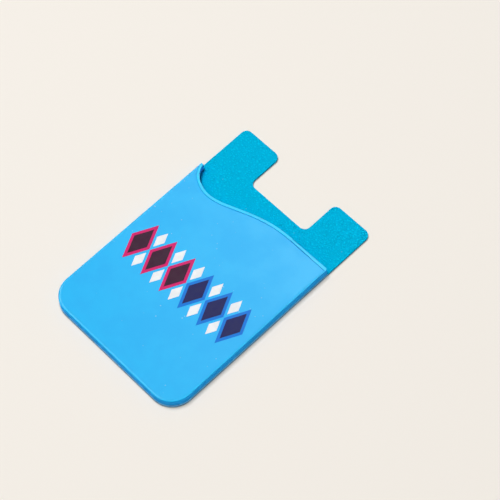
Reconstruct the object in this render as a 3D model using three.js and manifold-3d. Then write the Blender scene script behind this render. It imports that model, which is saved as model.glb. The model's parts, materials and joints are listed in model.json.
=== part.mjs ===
// A stick-on card holder for the back of a phone. A thin silicone back panel with a finger
// notch carries a flat pocket with a waved mouth, a double-sided adhesive pad lies under it,
// and a row of lozenges is printed on the front.
// Millimetres. +Z points out of the front, +Y towards the mouth, and the origin is the
// centre of the face that sticks to the phone.
import * as THREE from 'three';
import { mergeVertices } from 'three/addons/utils/BufferGeometryUtils.js';
import Module from 'manifold-3d';

// The bank card that the pocket takes
const CARD_WIDTH = 53.98;
const CARD_THICKNESS = 0.76;
const CARD_EMBOSSING = 0.48;
const CARD_SIDE_CLEARANCE = 0.31;
const CARD_FACE_CLEARANCE = 0.16;

// The walls, from the phone outwards
const PAD_THICKNESS = 0.25;
const BACK_THICKNESS = 0.95;
const FRONT_THICKNESS = 1.4;
const SIDE_WALL = 1.2;
const PAD_INSET = 0.6;

// The outline seen from the front
const LENGTH = 87.5;
const FOOT_RADIUS = 8.0;
const LOBE_RADIUS = 2.3;
const NOTCH_WIDTH = 25.2;
const NOTCH_DEPTH = 14.0;
const NOTCH_RADIUS = 2.3;
const EDGE_RADIUS = 1.1;

// The mouth: level at the right, with one dip beside the post that ends the left wall
const MOUTH_HEIGHT = 67.9;
const MOUTH_CORNER_RADIUS = 1.0;
const POST_DROP = 1.0;
const POST_CORNER_RADIUS = 0.5;
const DIP_DEPTH = 7.4;
const DIP_FROM_SIDE = 10.2;
const DIP_ENTRY_PULL = 0.9;
const DIP_EXIT_PULL = 8.0;
const PLUNGE_LEAN = 1.0;
const PLUNGE_PULL = 5.7;
const CREST_FROM_SIDE = 41.2;
const CREST_PULL = 15.6;

// The bead along the mouth, and the score line behind it
const BEAD_WIDTH = 0.9;
const BEAD_RISE = 0.15;
const BEAD_ROUNDING = 0.35;
const SCORE_WIDTH = 0.3;
const SCORE_DEPTH = 0.2;

// The printed row of lozenges
const INK_THICKNESS = 0.05;
const LOZENGE_COUNT = 6;
const LOZENGE_GAP = 0.4;
const LOZENGE_HEIGHT = 16.2;
const LOZENGE_FRAME = 1.1;
const PRINT_MARGIN = 3.2;
const SMALL_LOZENGE_WIDTH = 3.3;
const PRINT_HEIGHT = 33.4;

// Steps along the round stretches
const ARC_STEPS = 6;
const EDGE_STEPS = 5;
const PLUNGE_STEPS = 14;
const RISE_STEPS = 22;
const BEAD_STEPS = 3;

const WIDTH = CARD_WIDTH + 2 * (CARD_SIDE_CLEARANCE + SIDE_WALL);
const LEFT = -WIDTH / 2;
const RIGHT = WIDTH / 2;
const BOTTOM = -LENGTH / 2;
const TOP = LENGTH / 2;
const MOUTH = BOTTOM + MOUTH_HEIGHT;
const DIP = MOUTH - DIP_DEPTH;
const POST = MOUTH - POST_DROP;
const SLOT_HEIGHT = CARD_THICKNESS + CARD_EMBOSSING + CARD_FACE_CLEARANCE;
const BED = PAD_THICKNESS + BACK_THICKNESS;
const FRONT = BED + SLOT_HEIGHT + FRONT_THICKNESS;
const LOZENGE_PITCH = (WIDTH - 2 * PRINT_MARGIN + LOZENGE_GAP) / LOZENGE_COUNT;
const CLEAR = 2.0;
const QUARTER = Math.PI / 2;

const wasm = await Module();
wasm.setup();

function silicone(color, roughness) {
  return new THREE.MeshStandardMaterial({ color, roughness, metalness: 0 });
}

const MATERIALS = {
  teal: silicone(0x05b0dc, 0.62),
  azure: silicone(0x46b4f4, 0.5),
  adhesive: silicone(0xe4e6e8, 0.45),
  magenta: silicone(0xd8186c, 0.42),
  plum: silicone(0x3a1430, 0.42),
  cobalt: silicone(0x0a78dc, 0.42),
  navy: silicone(0x191e5a, 0.42),
  white: silicone(0xf4f6f8, 0.42),
};

function toSolid(geometry) {
  const bare = geometry.clone();
  bare.deleteAttribute('normal');
  bare.deleteAttribute('uv');
  const merged = mergeVertices(bare, 1e-4);
  return new wasm.Manifold(new wasm.Mesh({
    numProp: 3,
    vertProperties: new Float32Array(merged.attributes.position.array),
    triVerts: new Uint32Array(merged.index.array),
  }));
}

function toGeometry(solid) {
  const mesh = solid.getMesh();
  const geometry = new THREE.BufferGeometry();
  geometry.setAttribute('position', new THREE.BufferAttribute(mesh.vertProperties, 3));
  geometry.setIndex(new THREE.BufferAttribute(mesh.triVerts, 1));
  geometry.computeVertexNormals();
  return geometry;
}

function plate(shape, low, high) {
  const options = { depth: high - low, bevelEnabled: false, curveSegments: ARC_STEPS };
  return new THREE.ExtrudeGeometry(shape, options).translate(0, 0, low);
}

// The back panel's outline with its finger notch, drawn inwards all round by inset.
function panelOutline(inset) {
  const left = LEFT + inset;
  const right = RIGHT - inset;
  const bottom = BOTTOM + inset;
  const top = TOP - inset;
  const foot = FOOT_RADIUS - inset;
  const lobe = LOBE_RADIUS - inset;
  const notch = NOTCH_RADIUS + inset;
  const notchSide = NOTCH_WIDTH / 2 + inset;
  const notchFloor = TOP - NOTCH_DEPTH - inset;
  const shape = new THREE.Shape();
  shape.moveTo(left + foot, bottom);
  shape.absarc(right - foot, bottom + foot, foot, -QUARTER, 0);
  shape.absarc(right - lobe, top - lobe, lobe, 0, QUARTER);
  shape.absarc(notchSide + lobe, top - lobe, lobe, QUARTER, 2 * QUARTER);
  shape.absarc(notchSide - notch, notchFloor + notch, notch, 0, -QUARTER, true);
  shape.absarc(notch - notchSide, notchFloor + notch, notch, -QUARTER, -2 * QUARTER, true);
  shape.absarc(-notchSide - lobe, top - lobe, lobe, 0, QUARTER);
  shape.absarc(left + lobe, top - lobe, lobe, QUARTER, 2 * QUARTER);
  shape.absarc(left + foot, bottom + foot, foot, 2 * QUARTER, 3 * QUARTER);
  return shape;
}

// The pocket's outline before its mouth is cut, drawn inwards by inset and open at the top.
function pocketOutline(inset) {
  const foot = FOOT_RADIUS - inset;
  const shape = new THREE.Shape();
  shape.moveTo(LEFT + inset + foot, BOTTOM + inset);
  shape.absarc(RIGHT - inset - foot, BOTTOM + inset + foot, foot, -QUARTER, 0);
  shape.lineTo(RIGHT - inset, TOP);
  shape.lineTo(LEFT + inset, TOP);
  shape.absarc(LEFT + inset + foot, BOTTOM + inset + foot, foot, 2 * QUARTER, 3 * QUARTER);
  return shape;
}

// Stations along the mouth's edge from the left wall to the right side. Each holds a
// point and the direction from there into the front panel.
function mouthStations() {
  const post = new THREE.Vector2(LEFT + SIDE_WALL, POST);
  const dip = new THREE.Vector2(LEFT + DIP_FROM_SIDE, DIP);
  const crest = new THREE.Vector2(LEFT + CREST_FROM_SIDE, MOUTH);
  const plunge = new THREE.CubicBezierCurve(
    post,
    new THREE.Vector2(post.x + PLUNGE_LEAN, POST - PLUNGE_PULL),
    new THREE.Vector2(dip.x - DIP_ENTRY_PULL, DIP),
    dip,
  );
  const rise = new THREE.CubicBezierCurve(
    dip,
    new THREE.Vector2(dip.x + DIP_EXIT_PULL, DIP),
    new THREE.Vector2(crest.x - CREST_PULL, MOUTH),
    crest,
  );
  const stations = [];
  const add = (curve, t) => {
    const along = curve.getTangent(t);
    stations.push({ point: curve.getPoint(t), inward: new THREE.Vector2(along.y, -along.x) });
  };
  for (let i = 0; i < PLUNGE_STEPS; i += 1) add(plunge, i / PLUNGE_STEPS);
  for (let i = 0; i <= RISE_STEPS; i += 1) add(rise, i / RISE_STEPS);
  stations.push({ point: new THREE.Vector2(RIGHT, MOUTH), inward: new THREE.Vector2(0, -1) });
  return stations;
}

const stations = mouthStations();

function offsetMouth(distance) {
  return stations.map(({ point, inward }) => point.clone().addScaledVector(inward, distance));
}

// Everything below the mouth's edge, with the two ends of the edge rounded.
function belowMouth() {
  const right = MOUTH_CORNER_RADIUS;
  const left = POST_CORNER_RADIUS;
  const shape = new THREE.Shape();
  shape.moveTo(LEFT - CLEAR, BOTTOM - CLEAR);
  shape.lineTo(RIGHT + CLEAR, BOTTOM - CLEAR);
  shape.lineTo(RIGHT + CLEAR, MOUTH - right);
  shape.absarc(RIGHT - right, MOUTH - right, right, 0, QUARTER);
  offsetMouth(0).slice(0, -1).reverse().forEach((point) => shape.lineTo(point.x, point.y));
  shape.absarc(LEFT + left, POST - left, left, QUARTER, 2 * QUARTER);
  shape.lineTo(LEFT - CLEAR, POST - left);
  return toSolid(plate(shape, BED, FRONT + CLEAR));
}

// The pocket's outer form over the back panel, with its front edge rounded all round.
function roundedBlock(front) {
  const geometry = new THREE.ExtrudeGeometry(pocketOutline(0), {
    depth: front - BED,
    bevelThickness: EDGE_RADIUS,
    bevelSize: EDGE_RADIUS,
    bevelOffset: -EDGE_RADIUS,
    bevelSegments: EDGE_STEPS,
    curveSegments: ARC_STEPS,
  });
  return toSolid(geometry.translate(0, 0, BED - EDGE_RADIUS));
}

// The raised bead along the mouth. It takes in the whole left post.
function bead() {
  const inner = offsetMouth(BEAD_WIDTH).filter((point) => point.x > LEFT + BEAD_ROUNDING);
  const shape = new THREE.Shape();
  shape.moveTo(RIGHT + CLEAR, MOUTH);
  offsetMouth(0).slice(0, -1).reverse().forEach((point) => shape.lineTo(point.x, point.y));
  shape.lineTo(LEFT + SIDE_WALL, POST + CLEAR);
  shape.lineTo(LEFT - CLEAR, POST + CLEAR);
  shape.lineTo(LEFT - CLEAR, inner[0].y);
  inner.forEach((point) => shape.lineTo(point.x, point.y));
  shape.lineTo(RIGHT + CLEAR, MOUTH - BEAD_WIDTH);
  const geometry = new THREE.ExtrudeGeometry(shape, {
    depth: FRONT - BED,
    bevelThickness: BEAD_RISE,
    bevelSize: BEAD_ROUNDING,
    bevelOffset: -BEAD_ROUNDING,
    bevelSegments: BEAD_STEPS,
  });
  return toSolid(geometry.translate(0, 0, BED));
}

// The fine line behind the bead.
function score() {
  const inside = (point) => point.x > LEFT + SCORE_WIDTH;
  const near = offsetMouth(BEAD_WIDTH).filter(inside);
  const far = offsetMouth(BEAD_WIDTH + SCORE_WIDTH).filter(inside);
  const shape = new THREE.Shape();
  shape.moveTo(LEFT - CLEAR, near[0].y);
  near.forEach((point) => shape.lineTo(point.x, point.y));
  shape.lineTo(RIGHT + CLEAR, MOUTH - BEAD_WIDTH);
  shape.lineTo(RIGHT + CLEAR, MOUTH - BEAD_WIDTH - SCORE_WIDTH);
  far.reverse().forEach((point) => shape.lineTo(point.x, point.y));
  shape.lineTo(LEFT - CLEAR, far[far.length - 1].y);
  return toSolid(plate(shape, FRONT - SCORE_DEPTH, FRONT + CLEAR));
}

function frontPocket() {
  const mouthBlock = belowMouth();
  const slot = toSolid(plate(pocketOutline(SIDE_WALL), BED - CLEAR, BED + SLOT_HEIGHT));
  const panel = roundedBlock(FRONT).intersect(mouthBlock);
  const lip = bead().intersect(roundedBlock(FRONT + BEAD_RISE)).intersect(mouthBlock);
  return toGeometry(panel.subtract(score()).add(lip).subtract(slot));
}

function lozenge(x, y, width, height) {
  const shape = new THREE.Shape();
  shape.moveTo(x - width / 2, y);
  shape.lineTo(x, y - height / 2);
  shape.lineTo(x + width / 2, y);
  shape.lineTo(x, y + height / 2);
  return shape;
}

const group = new THREE.Group();

function addPiece(name, geometry, material) {
  const mesh = new THREE.Mesh(geometry, material);
  mesh.name = name;
  group.add(mesh);
}

// Large framed lozenges side by side, and small white ones above and below each joint.
function addPrint() {
  const centre = BOTTOM + PRINT_HEIGHT;
  const width = LOZENGE_PITCH - LOZENGE_GAP;
  const shrink = 1 - (2 * LOZENGE_FRAME) / width;
  const smallHeight = (SMALL_LOZENGE_WIDTH * LOZENGE_HEIGHT) / width;
  const smallShift = (LOZENGE_HEIGHT - smallHeight) / 2;
  const inkTop = FRONT + INK_THICKNESS;
  for (let i = 0; i < LOZENGE_COUNT; i += 1) {
    const x = (i - (LOZENGE_COUNT - 1) / 2) * LOZENGE_PITCH;
    const warm = i < LOZENGE_COUNT / 2;
    const frame = lozenge(x, centre, width, LOZENGE_HEIGHT);
    const core = lozenge(x, centre, width * shrink, LOZENGE_HEIGHT * shrink);
    const frameInk = warm ? MATERIALS.magenta : MATERIALS.cobalt;
    const coreInk = warm ? MATERIALS.plum : MATERIALS.navy;
    addPiece(`print_frame_${i + 1}`, plate(frame, FRONT, inkTop), frameInk);
    addPiece(`print_core_${i + 1}`, plate(core, inkTop, inkTop + INK_THICKNESS), coreInk);
  }
  for (let i = 1; i < LOZENGE_COUNT; i += 1) {
    const x = (i - LOZENGE_COUNT / 2) * LOZENGE_PITCH;
    for (const [side, sign] of [['upper', 1], ['lower', -1]]) {
      const small = lozenge(x, centre + sign * smallShift, SMALL_LOZENGE_WIDTH, smallHeight);
      addPiece(`print_dot_${side}_${i}`, plate(small, FRONT, inkTop), MATERIALS.white);
    }
  }
}

addPiece('adhesive_pad', plate(panelOutline(PAD_INSET), 0, PAD_THICKNESS), MATERIALS.adhesive);
addPiece('back_panel', plate(panelOutline(0), PAD_THICKNESS, BED), MATERIALS.teal);
addPiece('front_pocket', frontPocket(), MATERIALS.azure);
addPrint();

export default group;
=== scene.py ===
"""A stick-on card holder: an azure silicone pocket on a grained teal panel with an adhesive pad behind."""
import json
import math

import bmesh
import bpy
from bpy.props import FloatProperty, FloatVectorProperty, IntProperty, PointerProperty
from bpy.types import Operator, Panel, PropertyGroup
from mathutils import Matrix, Vector, geometry, noise


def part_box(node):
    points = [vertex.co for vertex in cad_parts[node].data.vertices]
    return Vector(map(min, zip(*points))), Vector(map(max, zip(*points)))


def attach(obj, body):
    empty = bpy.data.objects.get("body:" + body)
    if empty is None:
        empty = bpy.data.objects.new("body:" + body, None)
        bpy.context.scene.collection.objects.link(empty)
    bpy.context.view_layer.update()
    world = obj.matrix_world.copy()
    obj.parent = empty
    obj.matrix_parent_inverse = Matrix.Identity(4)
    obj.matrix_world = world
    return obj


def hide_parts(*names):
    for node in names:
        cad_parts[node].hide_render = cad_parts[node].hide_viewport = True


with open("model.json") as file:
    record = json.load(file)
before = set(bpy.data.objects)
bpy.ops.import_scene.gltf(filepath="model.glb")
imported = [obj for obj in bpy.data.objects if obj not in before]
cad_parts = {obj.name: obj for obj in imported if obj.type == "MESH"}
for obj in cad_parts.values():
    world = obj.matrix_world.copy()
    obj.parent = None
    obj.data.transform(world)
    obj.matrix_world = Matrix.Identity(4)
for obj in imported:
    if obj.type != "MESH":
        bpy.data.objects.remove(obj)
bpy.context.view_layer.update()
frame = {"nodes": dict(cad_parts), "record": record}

bl_info = {
    "name": "Card holder",
    "version": (1, 0, 0),
    "blender": (4, 5, 0),
    "location": "3D View > Sidebar > Card holder",
    "description": "Builds a stick-on card holder with its pocket, grained panel, adhesive pad and print",
    "category": "Object",
}

MM = 0.001
BODY = "root"

# Places that differ by less than this count as the same
TINY = 1e-7

# Vertices that are closer than this are merged
WELD = 5e-7

# How far a cutting solid reaches past what it cuts
CLEAR = 2.0 * MM

# The edge below a rounded corner, as a multiple of the corner's radius
CORNER_ROOM = 1.05

# Edges that turn by more than this are shaded sharp, on smooth pieces and on the grained one
SHARP_TURN = math.radians(35)
GRAIN_SHARP_TURN = math.radians(50)

# The leather grain: the seed of its noise, a pebble's length over its width, the scale and the reach of
# the wandering borders, the distance over which a pebble rises, and how much of the depth its top loses
GRAIN_SEED = 7
PEBBLE_PROPORTION = 0.75
WANDER_SCALE = 0.6
WANDER_REACH = 0.35
PEBBLE_RISE = 0.5
PEBBLE_LOSS = 0.02

# The frame's own places: the panel's sides, the bed that the card lies on, the mouth and the front face
panel_low, panel_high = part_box("back_panel")
pad_low, pad_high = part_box("adhesive_pad")
pocket_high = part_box("front_pocket")[1]
LEFT, BOTTOM, PANEL_FOOT = panel_low
RIGHT, TOP, BED = panel_high
MOUTH = pocket_high.y
BEAD_TOP = pocket_high.z
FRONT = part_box("print_frame_1")[0].z
PAD_FOOT = pad_low.z
PAD_TOP = pad_high.z
PAD_INSET = pad_low.x - LEFT


def length(name, description, millimetres):
    return FloatProperty(
        name=name, description=description, default=millimetres * MM, min=0.0, unit="LENGTH", precision=5
    )


def angle(name, description, degrees):
    return FloatProperty(name=name, description=description, default=math.radians(degrees), subtype="ANGLE")


def amount(name, description, value):
    return FloatProperty(name=name, description=description, default=value, min=0.0)


def position(name, description, x, y, z):
    return FloatVectorProperty(
        name=name, description=description, default=(x, y, z), size=3, subtype="TRANSLATION"
    )


def colour(name, description, red, green, blue):
    return FloatVectorProperty(
        name=name,
        description=description,
        default=(red, green, blue),
        min=0.0,
        max=1.0,
        size=3,
        subtype="COLOR",
    )


class HolderSizes(PropertyGroup):
    """Sizes of the holder that the frame doesn't give."""

    foot_radius: length("Foot radius", "Round corners at the closed end", 8.0)
    lobe_radius: length("Lobe radius", "Round corners of the two lobes beside the notch", 2.3)
    notch_width: length("Notch width", "Width of the finger notch", 25.2)
    notch_depth: length("Notch depth", "Depth of the finger notch", 14.0)
    notch_radius: length("Notch radius", "Inner corners of the finger notch", 2.3)
    panel_edge: length("Panel edge", "Rounding of the panel's upper edge", 0.12)
    foot_flange: length("Foot flange", "Thickness of the thin flange round the pocket's foot", 0.12)
    wall_inset: length("Wall inset", "How far the pocket's walls stand inside the flange", 0.1)
    edge_radius: length("Pocket edge", "Rounding of the pocket's outer edge", 0.36)
    rim_crest: length("Rim crest", "Flat crest between the round edge and the front", 0.05)
    rim_slope: length("Rim slope", "Width of the slope from the rim down to the front", 0.35)
    rim_rise: length("Rim rise", "How far the rim stands over the front", 0.06)
    parting_edge: length("Parting edge", "Rounding of the flange's upper edge", 0.03)
    side_wall: length("Side wall", "Thickness of the pocket's walls", 1.2)
    slot_height: length("Slot height", "Height of the space for the card", 1.4)
    slot_fillet: length("Slot fillet", "Rounding where the walls meet the front panel inside", 0.4)
    post_drop: length("Post drop", "How far the left wall ends below the crest of the mouth", 1.0)
    post_radius: length("Post corner", "Rounding of the left wall's outer corner, seen from the front", 0.5)
    mouth_radius: length("Mouth corner", "Rounding of the mouth's right end, seen from the front", 1.0)
    dip_depth: length("Dip depth", "How far the mouth dips", 7.4)
    dip_from_side: length("Dip place", "Distance of the dip from the left side", 10.2)
    dip_entry: length("Dip entry", "Reach of the curve into the dip", 0.9)
    dip_exit: length("Dip exit", "Reach of the curve out of the dip", 8.0)
    plunge_lean: length("Plunge lean", "Sideways reach of the curve at the post", 1.0)
    plunge_reach: length("Plunge reach", "Downward reach of the curve at the post", 5.7)
    crest_from_side: length("Crest place", "Where the mouth levels out, from the left side", 41.2)
    crest_reach: length("Crest reach", "Reach of the curve into the crest", 15.6)
    bead_width: length("Bead width", "Width of the raised bead along the mouth", 1.02)
    bead_outer: length("Bead outer rounding", "Rounding of the bead towards the mouth", 0.22)
    bead_inner: length("Bead inner rounding", "Rounding of the bead towards the front", 0.16)
    score_width: length("Score width", "Width of the fine line behind the bead", 0.22)
    score_depth: length("Score depth", "Depth of the fine line behind the bead", 0.11)
    grain_size: length("Grain size", "Size of one pebble of the leather grain", 0.78)
    grain_depth: length("Grain depth", "Depth between the pebbles of the leather grain", 0.17)
    grain_step: length("Grain step", "Spacing of the mesh that carries the grain", 0.14)
    pad_edge: length("Pad edge", "Rounding of the adhesive pad's upper edge", 0.05)
    arc_segments: IntProperty(name="Arc segments", description="Steps in a round corner", default=20, min=4)
    edge_segments: IntProperty(name="Edge segments", description="Steps in a round edge", default=8, min=4)
    fine_segments: IntProperty(name="Fine segments", description="Steps in a fine rounding", default=3, min=2)
    slope_steps: IntProperty(name="Slope steps", description="Steps in the rim's slope", default=4, min=2)


class HolderColours(PropertyGroup):
    """Colours of the holder's materials, in linear light."""

    azure: colour("Azure silicone", "Colour of the pocket", 0.014, 0.49, 0.94)
    azure_deep: colour("Deep azure", "Cloudy darker tone of the pocket", 0.008, 0.455, 0.92)
    # Painted highlight: the raised bead and rim are painted lighter than the front
    azure_highlight: colour("Azure highlight", "Tone of the pocket's raised bead and rim", 0.02, 0.62, 1.0)
    # Painted reflection: a pale band on the flange and on the panel's edge below it
    azure_pale_reflection: colour("Pale azure", "Tone of the flange and of the panel's edge below it", 0.22, 0.6, 1.0)
    # Painted shade: the round edges and upright walls are painted darker than the front
    azure_wall_shade: colour("Azure edge", "Tone of the pocket's round edges and walls", 0.004, 0.41, 1.0)
    teal: colour("Teal silicone", "Colour of the grained panel", 0.0015, 0.54, 0.805)
    # Real cloudy tone of the panel, and also painted shade between the pebbles
    teal_deep_and_valley_shade: colour("Deep teal", "Colour between the pebbles of the grain", 0.001, 0.45, 0.73)
    lip_shade: colour("Lip shade", "Tone of grooves, and of the panel close beside the lip", 0.0, 0.2, 0.5)
    adhesive: colour("Adhesive", "Colour of the double-sided pad", 0.76, 0.78, 0.8)
    adhesive_fibre: colour("Adhesive fibre", "Colour of the fibres in the pad", 0.66, 0.68, 0.7)
    # Painted shade: a dark contact line where the panel meets the pad
    foot_shade: colour("Foot shade", "Dark line where the panel meets the pad", 0.03, 0.05, 0.06)
    dust: colour("Dust", "Colour of fine specks on the silicone", 0.62, 0.78, 0.86)
    magenta: colour("Magenta ink", "Frames of the left lozenges", 0.69, 0.01, 0.15)
    cobalt: colour("Cobalt ink", "Frames of the right lozenges", 0.003, 0.19, 0.72)
    plum: colour("Plum ink", "Cores of the left lozenges", 0.042, 0.007, 0.03)
    navy: colour("Navy ink", "Cores of the right lozenges", 0.01, 0.013, 0.102)
    white: colour("White ink", "Small lozenges", 0.9, 0.92, 0.94)


class StageSettings(PropertyGroup):
    """Camera, floor, lamps and studio."""

    azimuth: angle("Azimuth", "Camera's turn round the holder", 50.753)
    elevation: angle("Elevation", "Camera's angle over the floor", 62.528)
    roll: angle("Roll", "Camera's turn about its own axis", -5.679)
    distance: length("Distance", "From the camera to its target", 575.48)
    target: position("Target", "Point that the camera looks at", 4.318 * MM, 13.2 * MM, 0.0)
    lens: amount("Lens", "Focal length in millimetres on a 36 mm sensor", 129.6)
    floor_colour: colour("Floor", "Floor and backdrop as the camera sees them", 0.96, 0.91, 0.84)
    # Painted contact shadow on the floor beside the holder
    floor_contact_shadow: colour("Floor contact", "Floor close beside the holder", 0.12, 0.28, 0.34)
    floor_bounce: colour("Floor bounce", "Floor as soft light meets it", 0.92, 0.9, 0.87)
    floor_glow: amount("Floor glow", "Strength of the glow that keeps the floor's shadows faint", 0.9)
    floor_share: amount("Floor glow share", "Share of that glow in the floor as it is seen", 0.5)
    floor_height: length("Floor height", "Over the pad's underside, which is then lit from below", 0.02)
    floor_size: length("Floor size", "Side of the square floor", 4000.0)
    key_power: amount("Key power", "Watts of the key lamp overhead", 9.6)
    key_size: length("Key size", "Side of the key lamp", 300.0)
    key_place: position("Key place", "Where the key lamp hangs", -0.27, -0.03, 1.1)
    sheen_power: amount("Sheen power", "Watts of the panel that the front mirrors", 38.0)
    sheen_size: length("Sheen size", "Side of the panel that the front mirrors", 1000.0)
    sheen_place: position("Sheen place", "Where that panel hangs", -0.12, 0.86, 1.0)
    under_power: amount("Under power", "Watts of the lamp that shows the pad from below", 8.0)
    under_size: length("Under size", "Side of the lamp below the floor", 600.0)
    under_place: position("Under place", "Where the lamp below the floor hangs", 0.2, -0.3, -1.0)
    zenith: amount("Zenith", "Brightness of the studio straight above and below", 0.3)
    horizon: amount("Horizon", "Brightness of the studio at the level of the floor", 0.2)
    horizon_band: amount("Horizon band", "Height up to which the studio stays at that brightness", 0.2)


def sizes():
    return bpy.context.scene.holder_sizes


def colours():
    return bpy.context.scene.holder_colours


# Mesh tools


def outline(bm, points, z):
    """A flat face through the points, and its corner vertices in the same order."""
    corners = [bm.verts.new((x, y, z)) for x, y in points]
    bm.faces.new(corners)
    return corners


def round_off(bm, parts, radius, segments, affect):
    bmesh.ops.bevel(
        bm,
        geom=parts,
        offset=radius,
        offset_type="OFFSET",
        segments=segments,
        profile=0.5,
        affect=affect,
        material=-1,
        clamp_overlap=False,
    )


def round_corners(bm, corners, radius, segments):
    """Rounds corners of a flat face."""
    round_off(bm, corners, radius, segments, "VERTICES")


def round_edges(bm, edges, radius, segments):
    """Rounds edges of a solid."""
    round_off(bm, edges, radius, segments, "EDGES")


def extrude_faces(bm, faces):
    """Extrudes the faces, and gives the vertices of the new ones, which haven't moved yet."""
    made = bmesh.ops.extrude_face_region(bm, geom=faces)
    return [item for item in made["geom"] if isinstance(item, bmesh.types.BMVert)]


def thicken(bm, height):
    """Makes a closed solid of the bmesh's flat face, up to height over it."""
    raised = extrude_faces(bm, bm.faces[:])
    bmesh.ops.translate(bm, verts=raised, vec=(0.0, 0.0, height))
    bmesh.ops.recalc_face_normals(bm, faces=bm.faces)


def level_edges(bm, z, chosen=None):
    """Edges that lie at height z, and between points that chosen accepts."""
    return [
        edge
        for edge in bm.edges
        if all(abs(v.co.z - z) < TINY and (chosen is None or chosen(v.co)) for v in edge.verts)
    ]


def level_faces(bm, z):
    """Faces whose middle lies at height z."""
    return [face for face in bm.faces if abs(face.calc_center_median().z - z) < TINY]


def to_object(bm, name):
    mesh = bpy.data.meshes.new(name)
    bm.to_mesh(mesh)
    bm.free()
    made = bpy.data.objects.new(name, mesh)
    bpy.context.scene.collection.objects.link(made)
    return made


def combine(target, tool, operation):
    """Cuts, joins or crosses target with tool, and removes the tool."""
    modifier = target.modifiers.new(operation, "BOOLEAN")
    modifier.operation = operation
    modifier.solver = "MANIFOLD"
    modifier.object = tool
    depsgraph = bpy.context.evaluated_depsgraph_get()
    mesh = bpy.data.meshes.new_from_object(target.evaluated_get(depsgraph))
    target.modifiers.clear()
    old = target.data
    target.data = mesh
    bpy.data.meshes.remove(old)
    tool_mesh = tool.data
    bpy.data.objects.remove(tool)
    bpy.data.meshes.remove(tool_mesh)
    return target


def finish_piece(piece, node, material, sharp_turn):
    """Welds the mesh, shades it, and places it in the frame instead of the node."""
    bm = bmesh.new()
    bm.from_mesh(piece.data)
    bmesh.ops.remove_doubles(bm, verts=bm.verts, dist=WELD)
    bmesh.ops.dissolve_degenerate(bm, edges=bm.edges, dist=WELD)
    for face in bm.faces:
        face.smooth = True
    for edge in bm.edges:
        edge.smooth = edge.is_manifold and edge.calc_face_angle(0.0) < sharp_turn
    open_edges = sum(not edge.is_manifold for edge in bm.edges)
    if open_edges or not bm.faces:
        raise RuntimeError(f"{piece.name} isn't closed: {open_edges} open edges, {len(bm.faces)} faces")
    bm.to_mesh(piece.data)
    bm.free()
    weighted = piece.modifiers.new("Even shading", "WEIGHTED_NORMAL")
    weighted.keep_sharp = True
    piece.data.materials.clear()
    piece.data.materials.append(material)
    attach(piece, BODY)
    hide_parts(node)


# Solids of the holder


def panel_solid(name, inset, low, high, edge):
    """The back panel's outline with its notch, drawn inwards by inset, between two heights."""
    s = sizes()
    left, right = LEFT + inset, RIGHT - inset
    bottom, top = BOTTOM + inset, TOP - inset
    side = s.notch_width / 2 + inset
    floor = TOP - s.notch_depth - inset
    points = [
        (left, bottom),
        (right, bottom),
        (right, top),
        (side, top),
        (side, floor),
        (-side, floor),
        (-side, top),
        (left, top),
    ]
    bm = bmesh.new()
    corners = outline(bm, points, low)
    foot, lobes, notch = corners[:2], corners[2:4] + corners[6:], corners[4:6]
    round_corners(bm, foot, s.foot_radius - inset, s.arc_segments)
    round_corners(bm, lobes, s.lobe_radius - inset, s.arc_segments // 2)
    round_corners(bm, notch, s.notch_radius + inset, s.arc_segments // 2)
    thicken(bm, high - low)
    round_edges(bm, level_edges(bm, high), edge, s.fine_segments)
    return to_object(bm, name)


def pebbles(x, y):
    """Height of the leather grain at a point, from 0 between the pebbles to 1 on their tops."""
    place = Vector((PEBBLE_PROPORTION * x, y, 0.0)) / sizes().grain_size
    wander = noise.noise_vector(place * WANDER_SCALE) * WANDER_REACH
    near, next_near = noise.voronoi(place + wander)[0][:2]
    rise = min(1.0, (next_near - near) / PEBBLE_RISE)
    return rise * rise * (3.0 - 2.0 * rise)


def grain_cutter():
    """A block over the open bed whose underside carries the leather grain."""
    s = sizes()
    noise.seed_set(GRAIN_SEED)
    low_y = MOUTH - s.dip_depth - 2 * CLEAR
    high_y = TOP + CLEAR
    span_x = RIGHT - LEFT + 2 * CLEAR
    span_y = high_y - low_y
    middle = Matrix.Translation((0.0, (low_y + high_y) / 2, BED))
    bm = bmesh.new()
    bmesh.ops.create_grid(
        bm,
        x_segments=round(span_x / s.grain_step),
        y_segments=round(span_y / s.grain_step),
        size=0.5,
        matrix=middle @ Matrix.Diagonal((span_x, span_y, 1.0, 1.0)),
    )
    for vert in bm.verts:
        vert.co.z -= s.grain_depth * (1.0 + PEBBLE_LOSS - pebbles(vert.co.x, vert.co.y))
    for vert in extrude_faces(bm, bm.faces[:]):
        vert.co.z = BED + CLEAR
    bmesh.ops.recalc_face_normals(bm, faces=bm.faces)
    return to_object(bm, "grain_cutter")


def mouth_curve(distance):
    """The mouth's edge from the left post to the right side, moved into the front panel by distance."""
    s = sizes()
    post = Vector((LEFT + s.side_wall, MOUTH - s.post_drop))
    plunge = post + Vector((s.plunge_lean, -s.plunge_reach))
    dip = Vector((LEFT + s.dip_from_side, MOUTH - s.dip_depth))
    dip_entry = dip - Vector((s.dip_entry, 0.0))
    dip_exit = dip + Vector((s.dip_exit, 0.0))
    crest = Vector((LEFT + s.crest_from_side, MOUTH))
    crest_entry = crest - Vector((s.crest_reach, 0.0))
    edge = geometry.interpolate_bezier(post, plunge, dip_entry, dip, 2 * s.arc_segments)[:-1]
    edge += geometry.interpolate_bezier(dip, dip_exit, crest_entry, crest, 3 * s.arc_segments)[:-1]
    edge += [crest, Vector((RIGHT, MOUTH))]
    moved = []
    for index, point in enumerate(edge):
        before = edge[max(0, index - 1)]
        after = edge[min(len(edge) - 1, index + 1)]
        along = (after - before).normalized()
        moved.append(point + Vector((along.y, -along.x)) * distance)
    return moved


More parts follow.
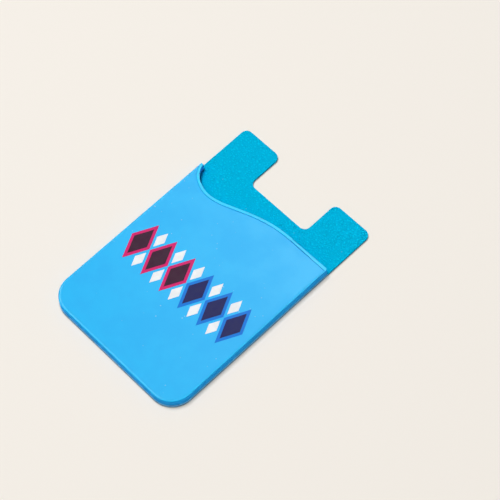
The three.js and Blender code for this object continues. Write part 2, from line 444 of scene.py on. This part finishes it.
def below_mouth(distance):
    """Everything below the mouth's edge moved inwards by distance, with the edge's two ends rounded."""
    s = sizes()
    post_y = MOUTH - s.post_drop - distance
    mouth_y = MOUTH - distance
    curve = [(p.x, p.y) for p in mouth_curve(distance)[:-1] if p.x > LEFT + s.post_radius]
    points = [
        (LEFT - CLEAR, BOTTOM - CLEAR),
        (RIGHT + CLEAR, BOTTOM - CLEAR),
        (RIGHT + CLEAR, mouth_y - CORNER_ROOM * s.mouth_radius),
        (RIGHT, mouth_y - CORNER_ROOM * s.mouth_radius),
        (RIGHT, mouth_y),
        *reversed(curve),
        (LEFT, curve[0][1]),
        (LEFT, curve[0][1] - CORNER_ROOM * s.post_radius),
        (LEFT - CLEAR, post_y - CORNER_ROOM * s.post_radius),
    ]
    bm = bmesh.new()
    corners = outline(bm, points, BED - CLEAR)
    round_corners(bm, [corners[4]], s.mouth_radius, s.arc_segments // 2)
    round_corners(bm, [corners[-3]], s.post_radius, s.arc_segments // 2)
    thicken(bm, FRONT - BED + 2 * CLEAR)
    return to_object(bm, "below_mouth")


def on_outline(co, corner):
    """Whether a point lies on the pocket's outer outline, round at the foot and square at the top."""
    reach = Vector((max(0.0, abs(co.x) - RIGHT + corner), max(0.0, -co.y - TOP + corner)))
    return abs(reach.length - corner) < 10 * TINY or abs(abs(co.x) - RIGHT) < TINY or abs(co.y - TOP) < TINY


def pocket_block(name, front, rim):
    """The pocket's outer form over the panel, open past the mouth, with its front edge rounded."""
    s = sizes()
    flange_top = BED + s.foot_flange
    bm = bmesh.new()
    corners = outline(bm, [(LEFT, BOTTOM), (RIGHT, BOTTOM), (RIGHT, TOP), (LEFT, TOP)], BED)
    round_corners(bm, corners[:2], s.foot_radius, s.arc_segments)
    thicken(bm, s.foot_flange)
    top = level_faces(bm, flange_top)
    bmesh.ops.inset_region(bm, faces=top, thickness=s.wall_inset, use_even_offset=True)
    raised = extrude_faces(bm, top)
    bmesh.ops.translate(bm, verts=raised, vec=(0.0, 0.0, front - BED - s.foot_flange))
    bmesh.ops.delete(bm, geom=top, context="FACES_KEEP_BOUNDARY")
    outer = level_edges(bm, flange_top, lambda co: on_outline(co, s.foot_radius))
    round_edges(bm, outer, s.parting_edge, s.edge_segments // 4)
    round_edges(bm, level_edges(bm, front), s.edge_radius, s.edge_segments)
    if rim:
        lower_front(bm, level_faces(bm, front))
    return to_object(bm, name)


def lower_front(bm, front):
    """Sinks the front inside a low rim, along a slope shaped as half a cosine wave."""
    s = sizes()
    bmesh.ops.inset_region(bm, faces=front, thickness=s.rim_crest, use_even_offset=True)
    levels = [math.cos(math.pi * step / s.slope_steps) / 2 for step in range(s.slope_steps + 1)]
    for above, below in zip(levels, levels[1:]):
        bmesh.ops.inset_region(
            bm,
            faces=front,
            thickness=s.rim_slope / s.slope_steps,
            depth=-s.rim_rise * (above - below),
            use_even_offset=True,
        )


def slot_solid():
    """The space for the card, open at the mouth."""
    s = sizes()
    left, right = LEFT + s.side_wall, RIGHT - s.side_wall
    bottom = BOTTOM + s.side_wall
    bm = bmesh.new()
    corners = outline(bm, [(left, bottom), (right, bottom), (right, TOP), (left, TOP)], BED - CLEAR)
    round_corners(bm, corners[:2], s.foot_radius - s.side_wall, s.arc_segments)
    thicken(bm, CLEAR + s.slot_height)
    round_edges(bm, level_edges(bm, BED + s.slot_height), s.slot_fillet, s.edge_segments // 2)
    return to_object(bm, "slot")


def mouth_band(near, far, low, high):
    """A bmesh band along the mouth, between two distances from its edge. From 0 it takes in the post."""
    s = sizes()
    inner = [(p.x, p.y) for p in mouth_curve(far) if p.x > LEFT + s.bead_outer]
    outer = [(p.x, p.y) for p in mouth_curve(near) if p.x > LEFT + s.bead_outer]
    points = [
        (LEFT - CLEAR, inner[0][1]),
        *inner[:-1],
        (RIGHT + CLEAR, MOUTH - far),
        (RIGHT + CLEAR, MOUTH - near),
        *reversed(outer[:-1]),
    ]
    if near > 0.0:
        points.append((LEFT - CLEAR, outer[0][1]))
    else:
        points.append((LEFT + s.side_wall, MOUTH + CLEAR))
        points.append((LEFT - CLEAR, MOUTH + CLEAR))
    bm = bmesh.new()
    outline(bm, points, low)
    thicken(bm, high - low)
    return bm


def plan_place(point):
    """Where a point lies seen from the front, rounded so that equal places can be matched."""
    return round(point.x, 7), round(point.y, 7)


# Shader tools


def feed(tree, socket, value):
    """Links a socket to an input, or sets the input to a value."""
    if isinstance(value, bpy.types.NodeSocket):
        tree.links.new(value, socket)
    else:
        socket.default_value = value


def add_node(tree, kind, inputs, **settings):
    """A node with its settings, and its inputs set to a value or linked to a socket."""
    made = tree.nodes.new(kind)
    for name, value in settings.items():
        setattr(made, name, value)
    for key, value in inputs.items():
        feed(tree, made.inputs[key], value)
    return made


def calculate(tree, operation, first, second=0.0, clamp=False):
    made = add_node(tree, "ShaderNodeMath", {0: first, 1: second}, operation=operation, use_clamp=clamp)
    return made.outputs[0]


def ramp(tree, value, low, high, out_low=0.0, out_high=1.0):
    """A value carried smoothly from one range to another."""
    made = add_node(
        tree,
        "ShaderNodeMapRange",
        {"Value": value, "From Min": low, "From Max": high, "To Min": out_low, "To Max": out_high},
        interpolation_type="SMOOTHSTEP",
    )
    return made.outputs["Result"]


def between(tree, mask, low, high):
    """From low where the mask is 0 to high where it is 1."""
    return ramp(tree, mask, 0.0, 1.0, low, high)


def blend_colour(tree, factor, first, second):
    return add_node(tree, "ShaderNodeMix", {0: factor, 6: first, 7: second}, data_type="RGBA").outputs[2]


def noise_value(tree, vector, scale, detail, roughness=0.5, distortion=0.0):
    inputs = {
        "Vector": vector,
        "Scale": scale,
        "Detail": detail,
        "Roughness": roughness,
        "Distortion": distortion,
    }
    return add_node(tree, "ShaderNodeTexNoise", inputs).outputs["Fac"]


def axes_of(tree, vector):
    return add_node(tree, "ShaderNodeSeparateXYZ", {"Vector": vector}).outputs


def object_place(tree):
    return tree.nodes.new("ShaderNodeTexCoord").outputs["Object"]


def facing_up(tree):
    """How far the surface faces up, from 1 on a level face to 0 on an upright wall."""
    return axes_of(tree, tree.nodes.new("ShaderNodeNewGeometry").outputs["Normal"])["Z"]


def rgba(value):
    return (*value, 1.0)


def new_group(name, inputs, outputs):
    """An empty shader node group with named sockets, and its input and output nodes."""
    tree = bpy.data.node_groups.new(name, "ShaderNodeTree")
    for direction, sockets in (("INPUT", inputs), ("OUTPUT", outputs)):
        for label, kind in sockets.items():
            tree.interface.new_socket(name=label, in_out=direction, socket_type=kind)
    return tree, tree.nodes.new("NodeGroupInput").outputs, tree.nodes.new("NodeGroupOutput").inputs


def use_group(tree, name, inputs):
    made = tree.nodes.new("ShaderNodeGroup")
    made.node_tree = bpy.data.node_groups[name]
    for key, value in inputs.items():
        feed(tree, made.inputs[key], value)
    return made.outputs


# Shader groups, each followed by what places it in a material


VALUE, COLOUR, VECTOR = "NodeSocketFloat", "NodeSocketColor", "NodeSocketVector"


def cloud_group():
    """Soft clouds of a second tone, as in a moulded pigment."""
    tree, given, out = new_group(
        "Pigment clouds",
        {"Vector": VECTOR, "Colour": COLOUR, "Second colour": COLOUR, "Size": VALUE, "Strength": VALUE},
        {"Colour": COLOUR, "Mask": VALUE},
    )
    scale = calculate(tree, "DIVIDE", 1.0, given["Size"])
    mask = ramp(tree, noise_value(tree, given["Vector"], scale, detail=3.0, roughness=0.55), 0.36, 0.66)
    factor = calculate(tree, "MULTIPLY", mask, given["Strength"], clamp=True)
    tree.links.new(blend_colour(tree, factor, given["Colour"], given["Second colour"]), out["Colour"])
    tree.links.new(mask, out["Mask"])


def pigment_clouds(tree, place, tone, second_tone, size, strength):
    """The cloudy colour, and the clouds' mask."""
    inputs = {
        "Vector": place,
        "Colour": rgba(tone),
        "Second colour": rgba(second_tone),
        "Size": size,
        "Strength": strength,
    }
    clouds = use_group(tree, "Pigment clouds", inputs)
    return clouds["Colour"], clouds["Mask"]


def speck_group():
    """Sparse pale specks of dust."""
    tree, given, out = new_group(
        "Dust specks",
        {"Vector": VECTOR, "Colour": COLOUR, "Dust colour": COLOUR, "Spacing": VALUE, "Strength": VALUE},
        {"Colour": COLOUR},
    )
    scale = calculate(tree, "DIVIDE", 1.0, given["Spacing"])
    inputs = {"Vector": given["Vector"], "Scale": scale, "Randomness": 1.0}
    cells = add_node(tree, "ShaderNodeTexVoronoi", inputs).outputs
    dots = ramp(tree, cells["Distance"], 0.16, 0.08)
    lot = add_node(tree, "ShaderNodeSeparateColor", {"Color": cells["Color"]}).outputs["Red"]
    rare_dots = calculate(tree, "MULTIPLY", dots, ramp(tree, lot, 0.72, 0.8))
    patches = ramp(tree, noise_value(tree, given["Vector"], 140.0, detail=2.0), 0.42, 0.62)
    mask = calculate(tree, "MULTIPLY", rare_dots, patches)
    factor = calculate(tree, "MULTIPLY", mask, given["Strength"], clamp=True)
    tree.links.new(blend_colour(tree, factor, given["Colour"], given["Dust colour"]), out["Colour"])


def dusty(tree, place, tone, spacing, strength):
    """The tone with specks of dust on it."""
    inputs = {
        "Vector": place,
        "Colour": tone,
        "Dust colour": rgba(colours().dust),
        "Spacing": spacing,
        "Strength": strength,
    }
    return use_group(tree, "Dust specks", inputs)["Colour"]


def skin_group():
    """Height of a moulded skin: a fine matt texture with slow waves below it."""
    tree, given, out = new_group(
        "Moulded skin",
        {"Vector": VECTOR, "Fine size": VALUE, "Wave size": VALUE, "Waves": VALUE},
        {"Height": VALUE},
    )
    fine_scale = calculate(tree, "DIVIDE", 1.0, given["Fine size"])
    wave_scale = calculate(tree, "DIVIDE", 1.0, given["Wave size"])
    fine = noise_value(tree, given["Vector"], fine_scale, detail=4.0, roughness=0.6)
    wave = noise_value(tree, given["Vector"], wave_scale, detail=1.0)
    raised = calculate(tree, "MULTIPLY", wave, given["Waves"])
    tree.links.new(calculate(tree, "ADD", fine, raised), out["Height"])


def bump(tree, height, depth, strength):
    inputs = {"Height": height, "Distance": depth, "Strength": strength}
    return add_node(tree, "ShaderNodeBump", inputs).outputs["Normal"]


def skin_bump(tree, place, fine, wave, waves, depth, strength):
    """Normals of a moulded skin."""
    inputs = {"Vector": place, "Fine size": fine, "Wave size": wave, "Waves": waves}
    return bump(tree, use_group(tree, "Moulded skin", inputs)["Height"], depth, strength)


def cavity_group(name, only_local):
    """Mask of grooves and inner corners, where shade is painted."""
    tree, given, out = new_group(name, {"Reach": VALUE, "Level": VALUE}, {"Mask": VALUE})
    occlusion = add_node(
        tree, "ShaderNodeAmbientOcclusion", {"Distance": given["Reach"]}, samples=8, only_local=only_local
    )
    dark = calculate(tree, "SUBTRACT", 1.0, occlusion.outputs["AO"])
    tree.links.new(calculate(tree, "MULTIPLY", dark, given["Level"], clamp=True), out["Mask"])


def own_cavities(tree, reach, level):
    """Mask of a piece's own grooves."""
    return use_group(tree, "Own cavities", {"Reach": reach, "Level": level})["Mask"]


def contact_shade(tree, reach, level):
    """Mask of what lies close beside another piece."""
    return use_group(tree, "Contact shade", {"Reach": reach, "Level": level})["Mask"]


def shader_groups():
    """Builds the groups once."""
    if "Pigment clouds" not in bpy.data.node_groups:
        cloud_group()
        speck_group()
        skin_group()
        cavity_group("Own cavities", True)
        cavity_group("Contact shade", False)


# Materials


def new_material(name):
    """A material and its empty node tree."""
    material = bpy.data.materials.new(name)
    material.use_nodes = True
    material.node_tree.nodes.clear()
    return material, material.node_tree


def surface(tree, tone, roughness, normal, specular):
    """Ends a material in a Principled shader."""
    inputs = {
        "Base Color": tone,
        "Roughness": roughness,
        "Specular IOR Level": specular,
        "Normal": normal,
    }
    shader = add_node(tree, "ShaderNodeBsdfPrincipled", inputs)
    add_node(tree, "ShaderNodeOutputMaterial", {"Surface": shader.outputs["BSDF"]})


def azure_silicone():
    """Smooth matt silicone: cloudy pigment, a painted highlight on the bead and rim, painted shade on the
    walls and in the grooves, a painted pale reflection on the flange, and dust.
    """
    c = colours()
    flange = sizes().foot_flange
    material, tree = new_material("Azure silicone")
    place = object_place(tree)
    height = axes_of(tree, place)["Z"]
    tone, clouds = pigment_clouds(tree, place, c.azure, c.azure_deep, size=9 * MM, strength=0.9)
    # Painted highlight on the raised bead and rim
    bead_and_rim_highlight = ramp(tree, height, FRONT + 0.01 * MM, FRONT + 0.12 * MM)
    tone = blend_colour(tree, bead_and_rim_highlight, tone, rgba(c.azure_highlight))
    # Painted shade on the walls and round edges; the same mask also makes them rougher
    walls = ramp(tree, facing_up(tree), 0.85, 0.4)
    tone = blend_colour(tree, walls, tone, rgba(c.azure_wall_shade))
    # Painted pale reflection on the flange
    flange_reflection = ramp(tree, height, BED + 1.5 * flange, BED + 1.1 * flange)
    tone = blend_colour(tree, flange_reflection, tone, rgba(c.azure_pale_reflection))
    # Painted shade in the pocket's own grooves and inner corners
    tone = blend_colour(tree, own_cavities(tree, reach=0.6 * MM, level=0.5), tone, rgba(c.lip_shade))
    tone = dusty(tree, place, tone, spacing=1.6 * MM, strength=0.4)
    roughness = calculate(tree, "MAXIMUM", between(tree, clouds, 0.32, 0.4), between(tree, walls, 0.32, 0.9))
    skin = skin_bump(tree, place, fine=0.25 * MM, wave=5 * MM, waves=1.5, depth=0.02 * MM, strength=0.5)
    surface(tree, tone, roughness, skin, specular=0.2)
    return material


def teal_silicone():
    """Grained silicone: painted shade in the valleys, a painted pale reflection on the edge under the pocket,
    painted shadow by the lip and painted shade at the foot.
    """
    c = colours()
    depth = sizes().grain_depth
    material, tree = new_material("Teal silicone")
    place = object_place(tree)
    axes = axes_of(tree, place)
    upward = facing_up(tree)
    tone, clouds = pigment_clouds(tree, place, c.teal, c.teal_deep_and_valley_shade, size=6 * MM, strength=0.2)
    # Painted shade in the valleys between the pebbles
    valley_shade = ramp(tree, axes["Z"], BED - 0.3 * depth, BED - 0.9 * depth)
    tone = blend_colour(tree, valley_shade, tone, rgba(c.teal_deep_and_valley_shade))
    # Painted pale reflection on the panel's sides under the pocket
    sides = ramp(tree, upward, 0.6, 0.2)
    under_pocket = ramp(tree, axes["Y"], MOUTH + 0.1 * MM, MOUTH - 0.1 * MM)
    tone = blend_colour(tree, calculate(tree, "MULTIPLY", sides, under_pocket), tone, rgba(c.azure_pale_reflection))
    # Painted shadow on the level panel beside the pocket's lip
    level_faces_only = ramp(tree, upward, 0.5, 0.8)
    lip_shadow = calculate(tree, "MULTIPLY", contact_shade(tree, reach=2.6 * MM, level=1.1), level_faces_only)
    tone = blend_colour(tree, lip_shadow, tone, rgba(c.lip_shade))
    # Painted contact shade: the panel darkens towards its foot
    foot = ramp(tree, axes["Z"], PANEL_FOOT + 0.4 * MM, PANEL_FOOT + 0.15 * MM, 0.0, 0.85)
    tone = blend_colour(tree, foot, tone, rgba(c.foot_shade))
    tone = dusty(tree, place, tone, spacing=2.2 * MM, strength=0.1)
    skin = skin_bump(tree, place, fine=0.16 * MM, wave=0.7 * MM, waves=1.0, depth=0.03 * MM, strength=0.6)
    surface(tree, tone, between(tree, clouds, 0.62, 0.74), skin, specular=0.0)
    return material


def adhesive_film():
    """Pale double-sided film with short fibres and a slightly tacky sheen."""
    c = colours()
    material, tree = new_material("Adhesive film")
    place = object_place(tree)
    inputs = {"Vector": place, "Rotation": (0.0, 0.0, 0.5), "Scale": (1.0, 0.12, 1.0)}
    stretched = add_node(tree, "ShaderNodeMapping", inputs).outputs["Vector"]
    fibres = noise_value(tree, stretched, 2500.0, detail=3.0, distortion=0.4)
    tone, clouds = pigment_clouds(tree, place, c.adhesive, c.adhesive_fibre, size=7 * MM, strength=0.35)
    tone = blend_colour(tree, ramp(tree, fibres, 0.5, 0.7), tone, rgba(c.adhesive_fibre))
    relief = bump(tree, fibres, depth=0.02 * MM, strength=0.5)
    surface(tree, tone, between(tree, clouds, 0.34, 0.48), relief, specular=0.5)
    return material


def printed_ink(name, base):
    """A thin ink film with a faint screen texture, rubbed in a few spots."""
    material, tree = new_material(name)
    place = object_place(tree)
    rubbed = [0.85 * part + 0.012 for part in base]
    tone, clouds = pigment_clouds(tree, place, base, rubbed, size=2.5 * MM, strength=0.5)
    skin = skin_bump(tree, place, fine=0.2 * MM, wave=3 * MM, waves=0.6, depth=0.01 * MM, strength=0.5)
    surface(tree, tone, between(tree, clouds, 0.36, 0.46), skin, specular=0.1)
    return material


def pale_floor(settings):
    """Matt floor that glows a little where it is seen, with the holder's shadow and a painted contact shadow
    beside it, and clear from below.
    """
    material, tree = new_material("Pale floor")
    path = tree.nodes.new("ShaderNodeLightPath").outputs
    seen = calculate(tree, "MAXIMUM", path["Is Camera Ray"], path["Is Glossy Ray"])
    seen = calculate(tree, "MAXIMUM", seen, path["Is Transmission Ray"])
    tone = blend_colour(tree, seen, rgba(settings.floor_bounce), rgba(settings.floor_colour))
    # Painted contact shadow on the floor beside the holder, where it is seen
    contact = calculate(tree, "MULTIPLY", contact_shade(tree, reach=0.45 * MM, level=2.0), seen)
    tone = blend_colour(tree, contact, tone, rgba(settings.floor_contact_shadow))
    matt = add_node(tree, "ShaderNodeBsdfDiffuse", {"Color": tone}).outputs["BSDF"]
    inputs = {"Color": tone, "Strength": settings.floor_glow}
    glow = add_node(tree, "ShaderNodeEmission", inputs).outputs["Emission"]
    share = calculate(tree, "MULTIPLY", seen, settings.floor_share)
    above = add_node(tree, "ShaderNodeMixShader", {0: share, 1: matt, 2: glow}).outputs["Shader"]
    clear = tree.nodes.new("ShaderNodeBsdfTransparent").outputs["BSDF"]
    below = tree.nodes.new("ShaderNodeNewGeometry").outputs["Backfacing"]
    either = add_node(tree, "ShaderNodeMixShader", {0: below, 1: above, 2: clear}).outputs["Shader"]
    add_node(tree, "ShaderNodeOutputMaterial", {"Surface": either})
    return material


# Operators


class HOLDER_OT_stage(Operator):
    """Make the camera, the floor, the lamps and the studio"""

    bl_idname = "card_holder.stage"
    bl_label = "Camera, floor and light"

    def execute(self, context):
        shader_groups()
        settings = context.scene.holder_stage
        self.camera(context.scene, settings)
        self.floor(settings)

        # The front mirrors the sheen panel, and takes its plain light from the key lamp
        key = self.lamp("Key lamp", settings.key_place, settings.key_size, settings.key_power)
        key.visible_glossy = False
        sheen = self.lamp("Sheen panel", settings.sheen_place, settings.sheen_size, settings.sheen_power)
        sheen.visible_diffuse = False
        self.lamp("Under lamp", settings.under_place, settings.under_size, settings.under_power)
        self.world(context.scene, settings)
        context.scene.view_settings.view_transform = "Standard"
        return {"FINISHED"}

    def camera(self, scene, settings):
        data = bpy.data.cameras.new("Camera")
        data.lens = settings.lens
        data.clip_start = 0.01
        data.clip_end = 20.0
        camera = bpy.data.objects.new("Camera", data)
        scene.collection.objects.link(camera)
        turn, rise = settings.azimuth, settings.elevation
        back = Vector((math.sin(turn) * math.cos(rise), -math.cos(turn) * math.cos(rise), math.sin(rise)))
        level_right = Vector((math.cos(turn), math.sin(turn), 0.0))
        level_up = back.cross(level_right)
        right = level_right * math.cos(settings.roll) + level_up * math.sin(settings.roll)
        up = level_up * math.cos(settings.roll) - level_right * math.sin(settings.roll)
        facing = Matrix((right, up, back)).transposed().to_4x4()
        camera.matrix_world = Matrix.Translation(Vector(settings.target) + back * settings.distance) @ facing
        scene.camera = camera

    def floor(self, settings):
        bm = bmesh.new()
        bmesh.ops.create_grid(bm, x_segments=1, y_segments=1, size=settings.floor_size / 2)
        bmesh.ops.translate(bm, verts=bm.verts, vec=(0.0, 0.0, settings.floor_height))
        floor = to_object(bm, "floor")
        floor.data.materials.append(pale_floor(settings))

    def lamp(self, name, place, size, power):
        """A square lamp that faces the holder."""
        data = bpy.data.lights.new(name, "AREA")
        data.shape = "SQUARE"
        data.size = size
        data.energy = power
        lamp = bpy.data.objects.new(name, data)
        bpy.context.scene.collection.objects.link(lamp)
        place = Vector(place)
        lamp.matrix_world = Matrix.Translation(place) @ place.to_track_quat("Z", "Y").to_matrix().to_4x4()
        return lamp

    def world(self, scene, settings):
        """A studio that is dim at the horizon and brighter above and below, with a pale backdrop."""
        world = bpy.data.worlds.new("Studio")
        scene.world = world
        world.use_nodes = True
        tree = world.node_tree
        tree.nodes.clear()
        sky = tree.nodes.new("ShaderNodeTexCoord").outputs["Generated"]
        height = calculate(tree, "ABSOLUTE", axes_of(tree, sky)["Z"])
        light = ramp(tree, height, settings.horizon_band, 1.0, settings.horizon, settings.zenith)
        path = tree.nodes.new("ShaderNodeLightPath").outputs
        seen = calculate(tree, "MAXIMUM", path["Is Camera Ray"], path["Is Transmission Ray"])
        tone = blend_colour(tree, seen, light, rgba(settings.floor_colour))
        background = add_node(tree, "ShaderNodeBackground", {"Color": tone, "Strength": 1.0})
        add_node(tree, "ShaderNodeOutputWorld", {"Surface": background.outputs["Background"]})


class HOLDER_OT_adhesive_pad(Operator):
    """Make the double-sided adhesive pad under the panel"""

    bl_idname = "card_holder.adhesive_pad"
    bl_label = "Adhesive pad"

    def execute(self, context):
        shader_groups()
        piece = panel_solid("adhesive_film", PAD_INSET, PAD_FOOT, PAD_TOP, sizes().pad_edge)
        finish_piece(piece, "adhesive_pad", adhesive_film(), SHARP_TURN)
        return {"FINISHED"}


class HOLDER_OT_back_panel(Operator):
    """Make the teal panel with its notch and leather grain"""

    bl_idname = "card_holder.back_panel"
    bl_label = "Grained back panel"

    def execute(self, context):
        shader_groups()
        piece = panel_solid("grained_panel", 0.0, PANEL_FOOT, BED, sizes().panel_edge)
        combine(piece, grain_cutter(), "DIFFERENCE")
        finish_piece(piece, "back_panel", teal_silicone(), GRAIN_SHARP_TURN)
        return {"FINISHED"}


class HOLDER_OT_front_pocket(Operator):
    """Make the azure pocket with its waved mouth, bead, score line and slot"""

    bl_idname = "card_holder.front_pocket"
    bl_label = "Front pocket"

    def execute(self, context):
        shader_groups()
        s = sizes()
        pocket = pocket_block("pocket_moulding", FRONT + s.rim_rise, rim=True)
        combine(pocket, below_mouth(s.bead_width / 2), "INTERSECT")
        combine(pocket, self.score(), "DIFFERENCE")
        combine(pocket, self.lip(), "UNION")
        combine(pocket, slot_solid(), "DIFFERENCE")
        finish_piece(pocket, "front_pocket", azure_silicone(), SHARP_TURN)
        return {"FINISHED"}

    def score(self):
        """What the fine line behind the bead takes away."""
        s = sizes()
        bottom = FRONT - s.score_depth
        groove = mouth_band(s.bead_width, s.bead_width + s.score_width, bottom, FRONT + CLEAR)
        round_edges(groove, level_edges(groove, bottom), s.score_width / 3, s.fine_segments)
        return to_object(groove, "score")

    def lip(self):
        """The bead along the mouth with the post's end, cut to the pocket's outer form."""
        s = sizes()
        band = mouth_band(0.0, s.bead_width, BED - CLEAR, BEAD_TOP)
        near = {plan_place(point) for point in mouth_curve(0.0)}
        far = {plan_place(point) for point in mouth_curve(s.bead_width)}
        inner = level_edges(band, BEAD_TOP, lambda co: plan_place(co) in far)
        outer = level_edges(band, BEAD_TOP, lambda co: plan_place(co) in near)
        round_edges(band, outer, s.bead_outer, s.edge_segments)
        inner = [edge for edge in inner if edge.is_valid]
        round_edges(band, inner, s.bead_inner, s.edge_segments // 2)
        lip = to_object(band, "lip")
        combine(lip, pocket_block("raised_block", BEAD_TOP, rim=False), "INTERSECT")
        return combine(lip, below_mouth(0.0), "INTERSECT")


class HOLDER_OT_print(Operator):
    """Give the printed lozenges their inks"""

    bl_idname = "card_holder.print"
    bl_label = "Printed lozenges"

    def execute(self, context):
        shader_groups()
        c = colours()
        inks = {
            "magenta_ink": printed_ink("Magenta ink", c.magenta),
            "cobalt_ink": printed_ink("Cobalt ink", c.cobalt),
            "plum_ink": printed_ink("Plum ink", c.plum),
            "navy_ink": printed_ink("Navy ink", c.navy),
            "white_ink": printed_ink("White ink", c.white),
        }
        slots = {part["node"]: part["material_slot"] for part in frame["record"]["subparts"]}
        for name, film in frame["nodes"].items():
            if name.startswith("print_"):
                film.data.materials.clear()
                film.data.materials.append(inks[slots[name]])
        return {"FINISHED"}


class HOLDER_PT_sidebar(Panel):
    """Buttons that build the holder, in order"""

    bl_idname = "HOLDER_PT_sidebar"
    bl_label = "Card holder"
    bl_space_type = "VIEW_3D"
    bl_region_type = "UI"
    bl_category = "Card holder"

    def draw(self, context):
        for operator in OPERATORS:
            self.layout.operator(operator.bl_idname)


OPERATORS = (
    HOLDER_OT_stage,
    HOLDER_OT_adhesive_pad,
    HOLDER_OT_back_panel,
    HOLDER_OT_front_pocket,
    HOLDER_OT_print,
)
CLASSES = (HolderSizes, HolderColours, StageSettings, *OPERATORS, HOLDER_PT_sidebar)


def register():
    for item in CLASSES:
        bpy.utils.register_class(item)
    bpy.types.Scene.holder_sizes = PointerProperty(type=HolderSizes)
    bpy.types.Scene.holder_colours = PointerProperty(type=HolderColours)
    bpy.types.Scene.holder_stage = PointerProperty(type=StageSettings)


def unregister():
    del bpy.types.Scene.holder_stage
    del bpy.types.Scene.holder_colours
    del bpy.types.Scene.holder_sizes
    for item in reversed(CLASSES):
        bpy.utils.unregister_class(item)


def main():
    register()
    bpy.ops.card_holder.stage()
    bpy.ops.card_holder.adhesive_pad()
    bpy.ops.card_holder.back_panel()
    bpy.ops.card_holder.front_pocket()
    bpy.ops.card_holder.print()


if __name__ == "__main__":
    main()
